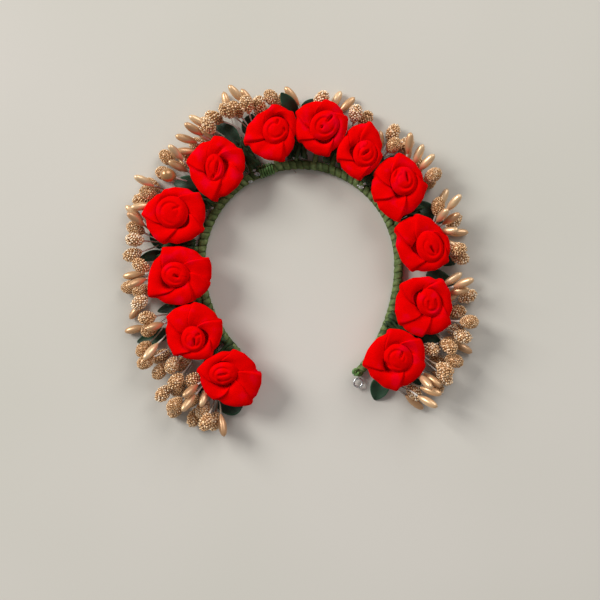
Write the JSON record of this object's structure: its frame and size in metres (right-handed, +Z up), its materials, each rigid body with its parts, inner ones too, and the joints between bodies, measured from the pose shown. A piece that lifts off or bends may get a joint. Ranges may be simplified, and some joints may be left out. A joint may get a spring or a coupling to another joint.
{
  "type": "floral bun brooch",
  "caption": "Open horseshoe hair piece for a bun: velvet roses, satin leaves and gold stamen heads on a hoop of taped wire with hairpin eyes at its ends.",
  "frame": {"origin": "on the surface that it lies on, below the middle of the bun opening", "axes": "+Z up from the surface, +Y from the open end to the closed end of the horseshoe, +X to the right seen from above"},
  "size_m": [0.1514, 0.1472, 0.0167],
  "materials": {
    "green_tape": "stretched crepe tape, matt",
    "silver_wire": "bright drawn wire",
    "red_velvet": "velvet pile",
    "green_satin": "satin ribbon, soft sheen",
    "gold_pearl": "pearly gold lacquer",
    "gold_sugar": "coat of fine gold grains"
  },
  "bodies": {
    "root": {"taped_hoop": "green_tape", "right_eye": "silver_wire", "left_eye": "silver_wire", "rose_1": "red_velvet", "rose_2": "red_velvet", "rose_3": "red_velvet", "rose_4": "red_velvet", "rose_5": "red_velvet", "rose_6": "red_velvet", "rose_7": "red_velvet", "rose_8": "red_velvet", "rose_9": "red_velvet", "rose_10": "red_velvet", "rose_11": "red_velvet", "rose_12": "red_velvet", "leaf_pair_1": "green_satin", "leaf_pair_2": "green_satin", "leaf_pair_3": "green_satin", "leaf_pair_4": "green_satin", "leaf_pair_5": "green_satin", "leaf_pair_6": "green_satin", "leaf_pair_7": "green_satin", "leaf_pair_8": "green_satin", "leaf_pair_9": "green_satin", "gold_drops_1": "gold_pearl", "gold_drops_2": "gold_pearl", "gold_drops_3": "gold_pearl", "gold_drops_4": "gold_pearl", "gold_drops_5": "gold_pearl", "gold_drops_6": "gold_pearl", "gold_drops_7": "gold_pearl", "gold_drops_8": "gold_pearl", "gold_drops_9": "gold_pearl", "gold_drops_10": "gold_pearl", "gold_drops_11": "gold_pearl", "gold_drops_12": "gold_pearl", "gold_drops_13": "gold_pearl", "gold_drops_14": "gold_pearl", "gold_drops_15": "gold_pearl", "gold_drops_16": "gold_pearl", "gold_drops_17": "gold_pearl", "gold_sugar_1": "gold_sugar", "gold_sugar_2": "gold_sugar", "gold_sugar_3": "gold_sugar", "gold_sugar_4": "gold_sugar", "gold_sugar_5": "gold_sugar", "gold_sugar_6": "gold_sugar", "gold_sugar_7": "gold_sugar", "gold_sugar_8": "gold_sugar", "gold_sugar_9": "gold_sugar", "gold_sugar_10": "gold_sugar", "gold_sugar_11": "gold_sugar", "gold_sugar_12": "gold_sugar", "gold_sugar_13": "gold_sugar", "gold_sugar_14": "gold_sugar", "gold_sugar_15": "gold_sugar", "gold_sugar_16": "gold_sugar", "gold_sugar_17": "gold_sugar", "gold_sugar_18": "gold_sugar", "gold_sugar_19": "gold_sugar"}
  },
  "joints": []
}
